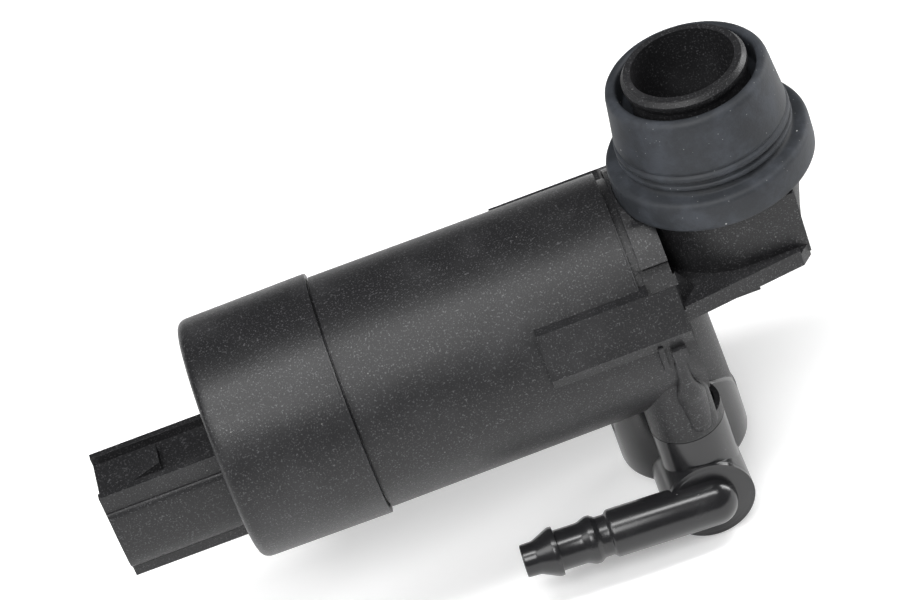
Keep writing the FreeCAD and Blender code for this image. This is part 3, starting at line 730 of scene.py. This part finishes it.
@dataclass
class Outlet:
    """Glossy elbow with the barbed nozzle."""

    finishes: Finishes
    duct_middle: Point = (41.0, 0.0, -27.4)
    duct_radius: float = 6.22
    duct_face: float = -15.53
    duct_back: float = -9.4
    nozzle_root: Point = (41.3, -16.0, -27.1)
    nozzle_tilt: float = 3.5
    root_radius: float = 3.37
    grip_radius: float = 2.87
    barb_radius: float = 3.47
    tip_radius: float = 2.3
    tip: float = -27.22
    bore_radius: float = 1.88
    bore_end: float = -21.0

    def duct(self) -> bpy.types.Object:
        """Turns the duct with its rounded front edge."""
        section = rounded([(0, self.duct_face, 0), (self.duct_radius, self.duct_face, 0.9),
                           (self.duct_radius, self.duct_back, 0), (0, self.duct_back, 0)], 6)
        return turned_piece("outlet_duct", section, motor_place(*self.duct_middle), Across.Y, 96)

    def nozzle(self) -> bpy.types.Object:
        """Turns the barbed nozzle with its round root, and tilts it."""
        root, grip, barb, tip, bore = (self.root_radius, self.grip_radius, self.barb_radius,
                                       self.tip_radius, self.bore_radius)
        turns = [math.radians(degrees) for degrees in range(0, 100, 10)]
        ball = [(root * math.sin(turn), root * math.cos(turn), 0.0) for turn in turns]
        stem = [(root, -14.6, 0.3), (grip, -15.0, 0.2), (grip, -16.3, 0.2), (barb - 0.1, -17.0, 0.25),
                (barb - 0.1, -17.7, 0.25), (grip, -18.9, 0.3), (grip, -22.3, 0.2)]
        mouth = [(barb, -22.4, 0.15), (barb, -22.95, 0.15), (tip + 0.06, -25.4, 0.3), (tip, self.tip, 0.25),
                 (bore, self.tip, 0.1), (bore, self.bore_end, 0), (0, self.bore_end, 0)]
        section = rounded(ball + stem + mouth)
        piece = turned_piece("barbed_nozzle", section, motor_place(*self.nozzle_root), Across.X, 96)
        middle = Matrix.Translation(Vector(motor_place(*self.nozzle_root)) * MM)
        tilt = Matrix.Rotation(math.radians(self.nozzle_tilt), 4, "Y")
        piece.data.transform(middle @ tilt @ middle.inverted())
        return piece

    def build(self) -> None:
        """Dresses the elbow and adds its duct and nozzle."""
        gloss = self.finishes.gloss.material()
        dress(softened_copy("outlet_elbow", 0.3), gloss)
        for piece in (self.duct(), self.nozzle()):
            dress(piece, gloss)
        log.info("elbow, duct and nozzle built")


@dataclass
class Grommet:
    """Rubber grommet round the spigot."""

    finishes: Finishes
    flange: float = 13.85
    flange_thickness: float = 4.5
    neck: float = 11.3
    ridge: float = 11.95
    barrel: float = 11.75
    rim: float = 10.95
    height: float = 11.3
    mouth: float = 9.45
    bore: float = 8.0

    def section(self) -> list[Place]:
        """The rounded section, from the flange's foot round to the bore."""
        corners = [
            (self.bore, -self.flange_thickness, 0), (self.flange, -self.flange_thickness, 0.7),
            (self.flange, 0, 0.9), (self.neck + 0.3, 0.05, 0.5), (self.neck, 0.8, 0.2),
            (self.ridge, 1.05, 0.2), (self.ridge, 1.6, 0.2), (self.neck + 0.1, 1.85, 0.15),
            (self.neck + 0.1, 2.15, 0.15), (self.ridge, 2.4, 0.2), (self.ridge, 2.95, 0.2),
            (self.neck + 0.2, 3.25, 0.15), (self.barrel, 3.75, 0.35), (self.rim, self.height, 1.0),
            (self.mouth, self.height, 0.55), (self.mouth - 0.1, self.height - 3.4, 0.3),
            (self.bore, self.height - 4.2, 0.2),
        ]
        return rounded(corners)

    def build(self) -> None:
        """Turns and dresses the grommet."""
        grommet = turned_piece("rubber_grommet", self.section(), (0, 0, 0), Across.Z, 128)
        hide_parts("inlet_grommet")
        dress(grommet, self.finishes.rubber.material())
        log.info("grommet built")


@dataclass
class MotorInside:
    """The motor, its seal and the impeller, which keep their solids."""

    steel: Metal = Metal("plated_steel", (0.6, 0.6, 0.58), 0.32)
    bronze: Metal = Metal("sintered_bronze", (0.55, 0.4, 0.2), 0.45)
    copper: Metal = Metal("enamelled_copper", (0.66, 0.3, 0.14), 0.3)
    brass: Metal = Metal("tinned_brass", (0.72, 0.66, 0.52), 0.3)
    ferrite: PlainPlastic = PlainPlastic("ferrite", (0.05, 0.05, 0.055), 0.45)
    carbon: PlainPlastic = PlainPlastic("carbon", (0.03, 0.03, 0.03), 0.6)
    black: PlainPlastic = PlainPlastic("satin_black", (0.03, 0.03, 0.032), 0.4)
    white: PlainPlastic = PlainPlastic("natural_white", (0.75, 0.74, 0.68), 0.35)

    def build(self) -> None:
        """Gives each hidden solid its finish."""
        dressing: dict[Any, tuple[str, ...]] = {
            self.steel: ("motor_can", "motor_shaft", "armature_core"),
            self.bronze: ("front_bush", "rear_bush"),
            self.copper: ("armature_windings", "commutator"),
            self.brass: ("upper_terminal", "lower_terminal"),
            self.ferrite: ("upper_magnet", "lower_magnet"),
            self.carbon: ("near_brush", "far_brush", "shaft_seal"),
            self.black: ("motor_bell", "seal_carrier"),
            self.white: ("impeller",),
        }
        for finish, nodes in dressing.items():
            material = finish.material()
            for node in nodes:
                dress(bpy.data.objects[node], material)
        log.info("motor inside dressed")


def main() -> None:
    """Builds the pump and the studio."""
    logging.basicConfig(level=logging.INFO, format="%(message)s")
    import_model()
    finishes = Finishes()
    for part in (Housing(finishes), Cap(finishes), Outlet(finishes), Grommet(finishes), MotorInside()):
        part.build()
    Studio().build()


if __name__ == "__main__":
    main()
